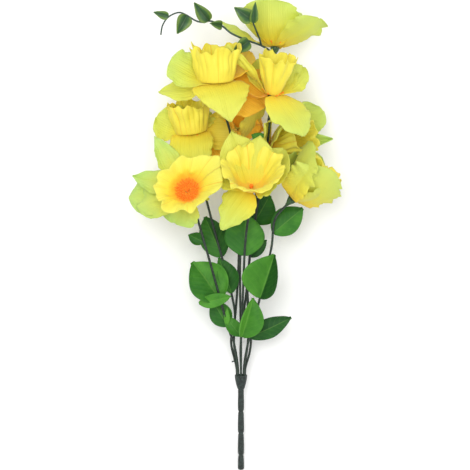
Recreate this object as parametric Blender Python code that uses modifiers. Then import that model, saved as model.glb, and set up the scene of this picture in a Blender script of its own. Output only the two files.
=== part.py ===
# A bunch of artificial daffodils that lies on its side: a moulded handle, nine wired stems, nine
# fabric heads, thirteen fabric leaves and one plastic vine spray.
# The handle points to -Y and the heads to +Y. +Z is up from the surface that the bunch lies on.
# Places and directions of the arrangement are in millimetres and degrees, sizes are in metres.

import math

import bmesh
import bpy
from mathutils import Matrix, Vector

# Handle
HANDLE_LENGTH = 0.084
HANDLE_RADIUS = 0.0032
HANDLE_RIB_HEIGHT = 0.0005
HANDLE_RIB_SPACING = 0.0225
COLLAR_LENGTH = 0.014
COLLAR_WALL = 0.0008
HANDLE_TILT = 12.0
LYING_TILT = -1.7

# Stems
STEM_RADIUS = 0.0011
SOCKET_DEPTH = 0.010
SOCKET_WALL = 0.0003
BUNDLE_LENGTH = 0.034
BUNDLE_RADIUS = 0.0100
STRAIGHT_END = 0.019
PEG_LENGTH = 0.009

# Flower heads
CLEARANCE = 0.0003
FABRIC = 0.0005
CALYX_LENGTH = 0.008
CALYX_RADIUS = 0.0046
HUB_RADIUS = 0.0052
PETAL_LENGTH = 0.060
PETAL_WIDTH = 0.036
PETAL_CUP = 0.12
CORONA_FLOOR_RADIUS = 0.0045
CORONA_PLEAT = 0.07
STAMEN_LENGTH = 0.013
STAMEN_RADIUS = 0.0032

# Leaves and vine
LEAF_THICKNESS = 0.0006
VINE_RADIUS = 0.0009
VINE_LEAF_THICKNESS = 0.0008
VINE_RING_LENGTH = 0.004
VINE_RING_WALL = 0.0009

# The places below are in millimetres, set for petals 60 mm long, and spread with the petals from
# the middle of the collar's top.
DRAWN_PETAL = 0.060
COLLAR_TOP = (5, -138, 24)

# Each head: base of the petals, direction it faces, spin of its first petal, radius of the
# corona's rim, length of the corona, its socket in the handle and the points that its stem passes.
# A petal is (shift of its spin, lift where it starts, lift at its tip, share of the full length).
# Spin 0 is the side that faces up, and spin 90 is the right-hand side.
HEADS = [
    {"base": (39, 189, 62), "facing": (0.12, 0.97, -0.15), "spin": 30, "rim": 0.020, "depth": 0.026,
     "socket": 270, "through": [(12, -40, 34), (22, 60, 28), (33, 120, 40)],
     "petals": [(0, 20, 50, 0.95), (0, 20, 45, 1.0), (0, 20, 50, 0.9),
                (0, 20, 50, 0.9), (0, 15, 36, 1.0), (0, 20, 50, 0.95)]},
    {"base": (-20, 152, 95), "facing": (-0.03, 0.93, 0.36), "spin": 20, "rim": 0.026, "depth": 0.034,
     "socket": None, "through": [(4, -40, 46), (4, 50, 56), (-8, 112, 74)],
     "petals": [(0, 10, -45, 1.0), (0, -20, -45, 0.8), (0, 20, 30, 0.6),
                (0, 20, 30, 0.9), (0, 20, 35, 0.95), (-15, 5, 0, 1.0)]},
    {"base": (36, 139, 92), "facing": (0.15, 0.93, 0.33), "spin": 40, "rim": 0.021, "depth": 0.036,
     "socket": 0, "through": [(12, -40, 44), (26, 60, 61), (33, 105, 79)],
     "petals": [(10, 0, -25, 1.0), (0, 10, 20, 0.9), (0, 40, 50, 0.9),
                (0, 40, 50, 0.8), (0, 48, 66, 0.95), (0, 10, 0, 0.6)]},
    {"base": (37, 91, 45), "facing": (0.72, 0.20, 0.66), "spin": 25, "rim": 0.019, "depth": 0.026,
     "socket": 315, "through": [(12, -40, 38), (20, 40, 40)],
     "petals": [(0, 30, 30, 0.35), (0, 10, 0, 0.8), (0, 30, 40, 1.0),
                (0, 30, 40, 1.0), (0, 30, 40, 0.4), (0, 30, 30, 0.25)]},
    {"base": (56, 37, 76), "facing": (0.68, 0.70, 0.20), "spin": 0, "rim": 0.016, "depth": 0.034,
     "socket": 45, "through": [(23, -65, 50), (35, -13, 62)],
     "petals": [(0, 25, 110, 0.95), (0, 25, 110, 0.95), (0, 25, 110, 0.9),
                (0, 25, 110, 0.9), (0, 25, 110, 0.9), (0, 25, 110, 0.95)]},
    {"base": (15, 46, 104), "facing": (0.05, 0.72, 0.69), "spin": 318, "rim": 0.032, "depth": 0.028,
     "socket": 90, "through": [(6, -84, 46), (9, -10, 72)],
     "petals": [(0, -30, -46, 0.74), (50, 36, 6, 0.4), (55, 18, 36, 0.8),
                (42, 44, 38, 0.8), (24, 44, 38, 0.9), (2, 16, 6, 0.55)]},
    {"base": (-48, 44, 98), "facing": (-0.15, 0.30, 0.94), "spin": 190, "rim": 0.034, "depth": 0.022,
     "socket": 135, "through": [(-8, -90, 46), (-29, -15, 68)],
     "petals": [(0, -10, -12, 1.0), (5, 0, -5, 0.93), (5, -10, -45, 0.8),
                (5, -50, -80, 0.7), (0, -10, -20, 0.7), (0, -15, -25, 0.8)]},
    {"base": (-44, 103, 62.5), "facing": (-0.12, 0.80, 0.59), "spin": 350, "rim": 0.024, "depth": 0.030,
     "socket": 180, "through": [(-2, -69, 40), (-26, 23, 50)],
     "petals": [(4, -12, -20, 0.66), (0, -10, -40, 0.6), (0, 10, 10, 0.5),
                (0, 5, 0, 1.0), (0, 5, 5, 1.0), (0, 35, 50, 0.95)]},
    {"base": (6, 100, 44), "facing": (0.10, 0.80, 0.60), "spin": 0, "rim": 0.016, "depth": 0.022,
     "socket": 225, "through": [(2, -40, 32), (4, 40, 28)],
     "petals": [(0, 45, 55, 0.4), (0, 30, 40, 0.4), (0, 20, 30, 0.4),
                (0, 20, 20, 0.8), (0, 20, 30, 0.4), (0, 30, 40, 0.4)]},
]

# Each leaf: its stem, the level along Y where it sits, whether it sits above (1) or below (-1)
# the stem, where it points, the way its face looks, length, width, fold of its two halves and
# bend along its length.
LEAVES = [
    (4, 14, 1, (0.50, 0.85, 0.30), (0.1, -0.3, 1.0), 0.034, 0.026, 12, 20),
    (5, 3, -1, (0.77, 0.64, -0.05), (-0.2, -0.2, 1.0), 0.039, 0.030, -15, 20),
    (6, -20, -1, (0.03, 0.99, 0.05), (0.0, -0.2, 1.0), 0.042, 0.042, -10, 20),
    (7, -6, -1, (-0.85, 0.40, -0.20), (0.0, 0.2, 1.0), 0.018, 0.014, -15, 20),
    (8, -20, -1, (-0.38, 0.92, -0.05), (0.1, -0.2, 1.0), 0.044, 0.030, -12, 20),
    (7, -64, -1, (-0.58, 0.80, 0.04), (0.3, 0.1, 1.0), 0.048, 0.042, 16, 30),
    (8, -56, 1, (-0.18, 0.95, 0.06), (0.2, -0.2, 1.0), 0.038, 0.023, 25, 20),
    (5, -61, 1, (0.42, 0.87, 0.25), (0.1, -0.3, 1.0), 0.048, 0.044, 14, 20),
    (6, -100, 1, (0.26, 0.93, 0.30), (0.2, -0.3, 1.0), 0.042, 0.027, 30, 25),
    (5, -101, -1, (0.90, 0.42, 0.00), (0.0, -0.2, 1.0), 0.047, 0.021, -12, 25),
    (7, -90, -1, (-0.50, 0.85, 0.05), (0.1, -0.1, 1.0), 0.030, 0.024, -15, 20),
    (3, -20, -1, (0.70, 0.70, -0.10), (0.1, -0.1, 1.0), 0.024, 0.014, -15, 20),
    (3, 92, -1, (-0.80, 0.45, -0.10), (0.0, -0.1, 1.0), 0.018, 0.013, -5, 5),
]

# Vine: the route of the main twig and of its side twig, and each leaf's start, direction,
# face, length and width.
VINE_MAIN = [(34, 185, 70), (25, 190, 80), (13, 194, 87), (-4, 201, 90), (-14, 209, 88),
             (-25, 214, 85), (-34, 213, 83), (-41, 215, 82), (-49, 220, 81), (-57, 223, 79),
             (-67, 219, 77), (-73, 211, 75), (-75, 201, 73)]
VINE_SIDE = [(25, 190, 80), (20, 204, 94), (16, 214, 101)]
VINE_LEAVES = [
    ((-67, 219, 77), (-0.95, 0.30, -0.1), (0.0, -0.2, 1.0), 0.016, 0.009),
    ((-49, 220, 81), (-0.45, -0.88, 0.1), (0.2, 0.0, 1.0), 0.021, 0.016),
    ((-27, 214, 85), (-0.60, 0.75, 0.2), (0.0, -0.3, 1.0), 0.024, 0.015),
    ((-14, 209, 88), (-0.70, 0.10, 0.7), (0.5, 0.0, 0.9), 0.017, 0.010),
    ((13, 194, 87), (-0.75, -0.55, 0.3), (0.2, -0.1, 1.0), 0.022, 0.015),
    ((16, 214, 101), (-0.80, 0.55, 0.2), (0.1, -0.2, 1.0), 0.022, 0.016),
    ((17, 211, 100), (0.10, 0.95, 0.4), (0.1, -0.3, 1.0), 0.022, 0.009),
]

HANDLE_GREEN = (0.032, 0.055, 0.045)
STEM_GREEN = (0.025, 0.066, 0.040)
CALYX_GREEN = (0.030, 0.110, 0.030)
PETAL_YELLOW = (0.900, 0.800, 0.040)
CORONA_YELLOW = (0.950, 0.650, 0.010)
STAMEN_ORANGE = (0.900, 0.300, 0.005)
LEAF_GREEN = (0.075, 0.270, 0.030)
VINE_GREEN = (0.045, 0.130, 0.030)


def clear_scene():
    for item in list(bpy.data.objects):
        bpy.data.objects.remove(item, do_unlink=True)


def millimetres(point):
    return Vector(point) * 0.001


def spread(point):
    # A place of the arrangement, spread with the petals.
    centre = millimetres(COLLAR_TOP)
    return centre + (millimetres(point) - centre) * (PETAL_LENGTH / DRAWN_PETAL)


def material(name, colour, roughness):
    made = bpy.data.materials.new(name)
    made.use_nodes = True
    shader = made.node_tree.nodes["Principled BSDF"]
    shader.inputs["Base Color"].default_value = (*colour, 1.0)
    shader.inputs["Roughness"].default_value = roughness
    shader.inputs["Metallic"].default_value = 0.0
    return made


def add_object(name, data, collection, parent, finish):
    made = bpy.data.objects.new(name, data)
    collection.objects.link(made)
    made.parent = parent
    if finish is not None:
        data.materials.append(finish)
    return made


def add_guide(name, collection, parent, matrix):
    guide = bpy.data.objects.new(name, None)
    collection.objects.link(guide)
    guide.parent = parent
    guide.matrix_local = matrix
    guide.empty_display_size = 0.01
    return guide


def frame_matrix(origin, forward, up=Vector((0.0, 0.0, 1.0))):
    # Local +Z looks along forward, and local -Y is the side nearest to up.
    axis = forward.normalized()
    side = axis.cross(up).normalized()
    back = axis.cross(side)
    turn = Matrix((side, back, axis)).transposed().to_4x4()
    return Matrix.Translation(origin) @ turn


def solidify(made, thickness, offset=0.0):
    shell = made.modifiers.new("Thickness", "SOLIDIFY")
    shell.thickness = thickness
    shell.offset = offset
    return shell


def turned(name, profile, segments, collection, parent, finish, smooth=True):
    # A profile of (radius, height) points that runs down the outer side, turned about Z.
    mesh = bpy.data.meshes.new(name)
    edges = [(i, i + 1) for i in range(len(profile) - 1)]
    if profile[0][0] > 0.0:
        edges.append((len(profile) - 1, 0))
    mesh.from_pydata([(radius, 0.0, height) for radius, height in profile], edges, [])
    made = add_object(name, mesh, collection, parent, finish)
    screw = made.modifiers.new("Turn", "SCREW")
    screw.steps = segments
    screw.render_steps = segments
    screw.use_merge_vertices = True
    screw.merge_threshold = 0.00001
    screw.use_smooth_shade = smooth
    return made


def tube(name, points, radius, collection, parent, finish):
    curve = bpy.data.curves.new(name, "CURVE")
    curve.dimensions = "3D"
    curve.bevel_depth = radius
    curve.bevel_resolution = 2
    curve.use_fill_caps = True
    spline = curve.splines.new("POLY")
    spline.points.add(len(points) - 1)
    for knot, point in zip(spline.points, points):
        knot.co = (*point, 1.0)
    return add_object(name, curve, collection, parent, finish)


def smooth_route(points, first, last, steps):
    # Points of a smooth curve through the given ones, which starts along first and ends along last.
    slopes = [first.normalized() * (points[1] - points[0]).length]
    for before, after in zip(points, points[2:]):
        slopes.append((after - before) * 0.5)
    slopes.append(last.normalized() * (points[-1] - points[-2]).length)
    route = [points[0]]
    for i in range(len(points) - 1):
        for step in range(1, steps + 1):
            t = step / steps
            route.append((2 * t ** 3 - 3 * t ** 2 + 1) * points[i]
                         + (t ** 3 - 2 * t ** 2 + t) * slopes[i]
                         + (3 * t ** 2 - 2 * t ** 3) * points[i + 1]
                         + (t ** 3 - t ** 2) * slopes[i + 1])
    return route


def arc_step(length, start, turn, share):
    # Distance out and up along a strip of that length that starts at angle start and bends by turn.
    half = turn * share / 2.0
    chord = length * share * (math.sin(half) / half if abs(half) > 1e-6 else 1.0)
    return chord * math.cos(start + half), chord * math.sin(start + half)


def petal_profile(share):
    return math.sin(math.pi * share ** 1.1) ** 0.7


# Handle and stems

def handle_direction():
    tilt = math.radians(HANDLE_TILT)
    return Vector((0.0, math.cos(tilt), math.sin(tilt)))


def socket_radius():
    return STEM_RADIUS + CLEARANCE


def socket_ring_radius():
    # Eight sockets stand round the middle one, with a wall between neighbours.
    return (2.0 * socket_radius() + SOCKET_WALL) / (2.0 * math.sin(math.pi / 8.0))


def socket_offset(head, radius):
    # Where a stem sits around the middle of the bundle, across the handle.
    if head["socket"] is None:
        return Vector((0.0, 0.0, 0.0))
    angle = math.radians(head["socket"])
    direction = handle_direction()
    side = Vector((1.0, 0.0, 0.0))
    up = side.cross(direction)
    return radius * (math.cos(angle) * side + math.sin(angle) * up)


def stem_route(head):
    direction = handle_direction()
    top = millimetres(COLLAR_TOP)
    inner = top + socket_offset(head, socket_ring_radius())
    start = inner - direction * (SOCKET_DEPTH - CLEARANCE)
    mouth = inner + direction * 0.002
    bundle = top + direction * BUNDLE_LENGTH + socket_offset(head, BUNDLE_RADIUS)
    base = spread(head["base"])
    facing = Vector(head["facing"]).normalized()
    approach = base - facing * STRAIGHT_END
    passed = [spread(point) for point in head["through"]]
    curve = smooth_route([mouth, bundle, *passed, approach], direction, facing, 3)
    return [start, *curve, base + facing * PEG_LENGTH]


def build_handle(collection, cutters, parent):
    direction = handle_direction()
    top = HANDLE_LENGTH + COLLAR_LENGTH
    tip = millimetres(COLLAR_TOP) - direction * top
    guide = add_guide("handle_place", collection, parent, frame_matrix(tip, direction))
    collar = socket_ring_radius() + socket_radius() + COLLAR_WALL
    profile = [(0.0, top), (collar, top), (collar * 0.98, top - COLLAR_LENGTH * 0.35)]
    ribs = int((HANDLE_LENGTH - HANDLE_RADIUS) // HANDLE_RIB_SPACING)
    for rib in range(ribs, 0, -1):
        height = rib * HANDLE_RIB_SPACING
        profile.append((HANDLE_RADIUS + HANDLE_RIB_HEIGHT, height))
        profile.append((HANDLE_RADIUS, height - HANDLE_RIB_SPACING * 0.2))
        profile.append((HANDLE_RADIUS, height - HANDLE_RIB_SPACING * 0.7))
    profile += [(HANDLE_RADIUS * 0.85, HANDLE_RADIUS * 0.4), (HANDLE_RADIUS * 0.5, 0.0), (0.0, 0.0)]
    made = turned("handle", profile, 16, collection, guide, material("handle_plastic", HANDLE_GREEN, 0.6))
    for number, head in enumerate(HEADS, 1):
        bpy.ops.mesh.primitive_cylinder_add(vertices=10, radius=socket_radius(),
                                            depth=SOCKET_DEPTH * 2.0)
        cutter = bpy.context.object
        cutter.name = f"socket_cutter_{number}"
        for owner in list(cutter.users_collection):
            owner.objects.unlink(cutter)
        cutters.objects.link(cutter)
        cutter.parent = parent
        place = millimetres(COLLAR_TOP) + socket_offset(head, socket_ring_radius())
        cutter.matrix_local = frame_matrix(place, direction)
        cutter.hide_render = True
        cutter.display_type = "WIRE"
        cut = made.modifiers.new("Socket", "BOOLEAN")
        cut.object = cutter
        cut.operation = "DIFFERENCE"
        cut.solver = "EXACT"


# Flower heads

def build_calyx(number, collection, parent, finish):
    bore = STEM_RADIUS + CLEARANCE
    profile = [(bore, 0.0), (CALYX_RADIUS, 0.0), (CALYX_RADIUS * 0.85, -CALYX_LENGTH * 0.35),
               (bore + 0.0008, -CALYX_LENGTH), (bore, -CALYX_LENGTH)]
    return turned(f"calyx_{number}", profile, 10, collection, parent, finish)


def petal_spins(head):
    return [head["spin"] + 60 * i + petal[0] for i, petal in enumerate(head["petals"])]


def petal_grid(head, index, floor):
    # Rows of three points, edge, middle and edge, from the hub to the tip of one petal.
    spins = petal_spins(head)
    spin = spins[index]
    before = (spin - spins[index - 1]) % 360
    after = (spins[(index + 1) % 6] - spin) % 360
    reach = math.radians(min(before, after) / 2.0 - 2.0)
    shift, start, end, share = head["petals"][index]
    start = math.radians(start)
    turn = math.radians(end) - start
    rows = []
    for step in (0.24, 0.48, 0.72, 0.90, 1.0):
        out, rise = arc_step(PETAL_LENGTH * share, start, turn, step)
        radius = HUB_RADIUS + out
        half = max(0.5 * PETAL_WIDTH * petal_profile(min(step, 0.985)), 0.001)
        half = min(half, radius * math.tan(reach))
        lift = start + turn * step
        row = []
        for across in (-1, 0, 1):
            cup = PETAL_CUP * half * abs(across)
            out_here = radius - cup * math.sin(lift)
            angle = math.radians(spin - 90)
            direction = Vector((math.cos(angle), math.sin(angle), 0.0))
            tangent = Vector((-math.sin(angle), math.cos(angle), 0.0))
            row.append(direction * out_here + tangent * half * across
                       + Vector((0.0, 0.0, floor + rise + cup * math.cos(lift))))
        rows.append(row)
    return rows


def build_petals(number, head, collection, parent, finish):
    # One cut of fabric: a ring round the stem that carries six petals, with a notch between them.
    floor = CLEARANCE + FABRIC / 2.0
    bore = STEM_RADIUS + CLEARANCE
    spins = petal_spins(head)
    shape = bmesh.new()
    rings = []
    for radius in (bore, HUB_RADIUS):
        ring = []
        for i in range(6):
            gap = (spins[(i + 1) % 6] - spins[i]) % 360
            for angle in (spins[i] - 90, spins[i] - 90 + gap / 2.0):
                turn = math.radians(angle)
                ring.append(shape.verts.new((radius * math.cos(turn), radius * math.sin(turn), floor)))
        rings.append(ring)
    inner, outer = rings
    for i in range(12):
        shape.faces.new((inner[i], outer[i], outer[(i + 1) % 12], inner[(i + 1) % 12]))
    for i in range(6):
        last = [outer[2 * i - 1], outer[2 * i], outer[2 * i + 1]]
        for row in petal_grid(head, i, floor):
            here = [shape.verts.new(point) for point in row]
            for j in range(2):
                shape.faces.new((last[j], here[j], here[j + 1], last[j + 1]))
            last = here
    mesh = bpy.data.meshes.new(f"petals_{number}")
    shape.to_mesh(mesh)
    shape.free()
    made = add_object(f"petals_{number}", mesh, collection, parent, finish)
    solidify(made, FABRIC)
    return made


def build_corona(number, head, collection, parent, finish):
    floor = 2.0 * CLEARANCE + FABRIC * 1.5
    rim = head["rim"]
    bore = STEM_RADIUS + CLEARANCE
    rows = [(bore, 0.0, 0.0), (CORONA_FLOOR_RADIUS, 0.0, 0.0), (0.38 * rim, 0.30, 0.3),
            (0.66 * rim, 0.72, 0.7), (rim, 1.0, 1.0)]
    sides = 16
    shape = bmesh.new()
    last = None
    for radius, height, pleat in rows:
        ring = []
        for i in range(sides):
            turn = 2.0 * math.pi * i / sides
            wide = radius * (1.0 + CORONA_PLEAT * pleat * (-1) ** i)
            ring.append(shape.verts.new((wide * math.cos(turn), wide * math.sin(turn),
                                         floor + height * head["depth"])))
        if last:
            for i in range(sides):
                shape.faces.new((last[i], ring[i], ring[(i + 1) % sides], last[(i + 1) % sides]))
        last = ring
    mesh = bpy.data.meshes.new(f"corona_{number}")
    shape.to_mesh(mesh)
    shape.free()
    made = add_object(f"corona_{number}", mesh, collection, parent, finish)
    solidify(made, FABRIC)
    return made


def build_stamens(number, collection, parent, finish):
    foot = 3.0 * CLEARANCE + FABRIC * 2.0
    bore = STEM_RADIUS + CLEARANCE
    top = foot + STAMEN_LENGTH
    roof = PEG_LENGTH + CLEARANCE
    profile = [(0.0, top), (STAMEN_RADIUS * 0.8, top), (STAMEN_RADIUS, top - 0.003),
               (STAMEN_RADIUS * 0.75, foot), (bore, foot), (bore, roof), (0.0, roof)]
    return turned(f"stamens_{number}", profile, 8, collection, parent, finish)


def build_heads(collection, parent):
    finishes = {
        "stem": material("stem_plastic", STEM_GREEN, 0.5),
        "calyx": material("calyx_plastic", CALYX_GREEN, 0.5),
        "petals": material("petal_fabric", PETAL_YELLOW, 0.8),
        "corona": material("corona_fabric", CORONA_YELLOW, 0.8),
        "stamens": material("stamen_plastic", STAMEN_ORANGE, 0.5),
    }
    for number, head in enumerate(HEADS, 1):
        tube(f"stem_{number}", stem_route(head), STEM_RADIUS, collection, parent, finishes["stem"])
        place = frame_matrix(spread(head["base"]), Vector(head["facing"]))
        guide = add_guide(f"head_place_{number}", collection, parent, place)
        build_calyx(number, collection, guide, finishes["calyx"])
        build_petals(number, head, collection, guide, finishes["petals"])
        build_corona(number, head, collection, guide, finishes["corona"])
        build_stamens(number, collection, guide, finishes["stamens"])


# Leaves and vine

def leaf_mesh(name, start, heading, face, length, width, fold, bend):
    # A pointed leaf of two halves that fold up from the midrib, on a strip that bends down.
    heading = heading.normalized()
    normal = (face - heading * face.dot(heading)).normalized()
    side = heading.cross(normal)
    fold = math.radians(fold)
    turn = math.radians(-bend)
    shape = bmesh.new()
    last = None
    for step in (0.0, 0.2, 0.45, 0.75, 1.0):
        out, rise = arc_step(length, -turn / 2.0, turn, step)
        middle = start + heading * out + normal * rise
        half = max(0.5 * width * math.sin(math.pi * min(step, 0.97) ** 0.8), 0.0008)
        wing = side * half * math.cos(fold)
        lift = normal * half * math.sin(fold)
        row = [shape.verts.new(point) for point in (middle - wing + lift, middle, middle + wing + lift)]
        if last:
            for j in range(2):
                shape.faces.new((last[j], last[j + 1], row[j + 1], row[j]))
        last = row
    mesh = bpy.data.meshes.new(name)
    shape.to_mesh(mesh)
    shape.free()
    return mesh


def point_at_level(route, level):
    # Where a stem passes a level along Y, and its direction there.
    for a, b in zip(route, route[1:]):
        if a.y <= level <= b.y:
            return a.lerp(b, (level - a.y) / (b.y - a.y)), (b - a).normalized()
    return route[-1], (route[-1] - route[-2]).normalized()


def build_leaves(collection, parent):
    finish = material("leaf_fabric", LEAF_GREEN, 0.7)
    gap = STEM_RADIUS + CLEARANCE + LEAF_THICKNESS
    for number, leaf in enumerate(LEAVES, 1):
        stem, level, side, heading, face, length, width, fold, bend = leaf
        point, along = point_at_level(stem_route(HEADS[stem - 1]), spread((0, level, 0)).y)
        face = Vector(face)
        outward = (face - along * face.dot(along)).normalized()
        name = f"leaf_{number}"
        mesh = leaf_mesh(name, point + outward * gap * side, Vector(heading), face,
                         length, width, fold, bend)
        made = add_object(name, mesh, collection, parent, finish)
        solidify(made, LEAF_THICKNESS)


def joined_mesh(name, source):
    # The evaluated mesh of an object, with its caps welded, in the place of the object.
    depsgraph = bpy.context.evaluated_depsgraph_get()
    mesh = bpy.data.meshes.new_from_object(source.evaluated_get(depsgraph))
    mesh.name = name
    shape = bmesh.new()
    shape.from_mesh(mesh)
    bmesh.ops.remove_doubles(shape, verts=shape.verts, dist=0.00001)
    bmesh.ops.recalc_face_normals(shape, faces=shape.faces)
    shape.to_mesh(mesh)
    shape.free()
    return mesh


def build_vine(collection, cutters, parent):
    finish = material("vine_plastic", VINE_GREEN, 0.4)
    head = HEADS[0]
    facing = Vector(head["facing"]).normalized()
    middle = spread(head["base"]) - facing * (CALYX_LENGTH + CLEARANCE + VINE_RING_LENGTH)
    bore = STEM_RADIUS + CLEARANCE
    outside = bore + VINE_RING_WALL
    half = VINE_RING_LENGTH / 2.0
    guide = add_guide("vine_place", collection, parent, frame_matrix(middle, facing))
    made = turned("vine_spray", [(bore, half), (outside, half), (outside, -half), (bore, -half)],
                  12, collection, guide, finish)
    first = spread(VINE_MAIN[0])
    leave = (first - middle).normalized()
    across = (leave - facing * leave.dot(facing)).normalized()
    root = middle + across * (bore + VINE_RING_WALL * 0.6)
    main = smooth_route([root] + [spread(p) for p in VINE_MAIN], across, Vector((-0.1, -1, 0)), 1)
    side = smooth_route([spread(p) for p in VINE_SIDE], Vector((-0.1, 1, 0.3)),
                        Vector((-0.3, 1, 0.2)), 1)
    pieces = []
    for name, route in (("vine_twig_main", main), ("vine_twig_side", side)):
        twig = tube(name, route, VINE_RADIUS, cutters, parent, None)
        bpy.context.view_layer.update()
        mesh = joined_mesh(name, twig)
        bpy.data.objects.remove(twig, do_unlink=True)
        pieces.append((name, mesh, False))
    for number, (start, heading, face, length, width) in enumerate(VINE_LEAVES, 1):
        name = f"vine_leaf_{number}"
        pieces.append((name, leaf_mesh(name, spread(start), Vector(heading), Vector(face),
                                       length, width, 18, 20), True))
    for name, mesh, sheet in pieces:
        piece = add_object(name, mesh, cutters, parent, None)
        piece.hide_render = True
        piece.display_type = "WIRE"
        if sheet:
            solidify(piece, VINE_LEAF_THICKNESS)
        join = made.modifiers.new("Join", "BOOLEAN")
        join.object = piece
        join.operation = "UNION"
        join.solver = "EXACT"


def settle_on_floor(collection, whole):
    # Puts the bottom centre of the finished pieces' box at the origin.
    bpy.context.view_layer.update()
    depsgraph = bpy.context.evaluated_depsgraph_get()
    corners = []
    for item in collection.objects:
        if item.type in {"MESH", "CURVE"}:
            ready = item.evaluated_get(depsgraph)
            mesh = ready.to_mesh()
            corners += [ready.matrix_world @ vertex.co for vertex in mesh.vertices]
            ready.to_mesh_clear()
    low = [min(corner[i] for corner in corners) for i in range(3)]
    high = [max(corner[i] for corner in corners) for i in range(3)]
    whole.location = (-(low[0] + high[0]) / 2.0, -(low[1] + high[1]) / 2.0, -low[2])


def main():
    clear_scene()
    collection = bpy.data.collections.new("daffodil_bunch")
    cutters = bpy.data.collections.new("cutters")
    bpy.context.scene.collection.children.link(collection)
    bpy.context.scene.collection.children.link(cutters)
    whole = bpy.data.objects.new("bunch_place", None)
    whole.rotation_euler.x = math.radians(LYING_TILT)
    collection.objects.link(whole)
    build_handle(collection, cutters, whole)
    build_heads(collection, whole)
    build_leaves(collection, whole)
    build_vine(collection, cutters, whole)
    settle_on_floor(collection, whole)


main()
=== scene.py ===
import math
import bpy
from mathutils import Matrix, Vector, noise


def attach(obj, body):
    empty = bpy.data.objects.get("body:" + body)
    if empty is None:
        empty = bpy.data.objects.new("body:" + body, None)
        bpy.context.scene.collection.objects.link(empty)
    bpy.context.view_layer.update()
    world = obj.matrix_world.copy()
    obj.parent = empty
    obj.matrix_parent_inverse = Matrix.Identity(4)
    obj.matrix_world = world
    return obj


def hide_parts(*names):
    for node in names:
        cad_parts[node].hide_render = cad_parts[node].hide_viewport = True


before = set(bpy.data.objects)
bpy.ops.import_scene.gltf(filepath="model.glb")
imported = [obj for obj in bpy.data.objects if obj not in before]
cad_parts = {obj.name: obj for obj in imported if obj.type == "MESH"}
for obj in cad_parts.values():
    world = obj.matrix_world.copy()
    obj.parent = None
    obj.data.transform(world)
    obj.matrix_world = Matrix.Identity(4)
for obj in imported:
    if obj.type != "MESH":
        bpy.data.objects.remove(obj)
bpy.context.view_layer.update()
print("packed bunch loaded")

# How the bunch lies and is tied together: degrees, and millimetres for the rest. "collarTop" is the
# middle of the collar's top, and the stems leave it on the circle of "socketRadius".
bunch = {
    "lyingTilt": -1.7, "handleTilt": 12, "collarTop": (5, -138, 24), "handleLength": 84,
    "collarLength": 14, "bundleLength": 34, "bundleRadius": 10, "socketRadius": 4.05,
    "straightEnd": 19, "pegLength": 9, "stemRadius": 1.2,
}

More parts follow.
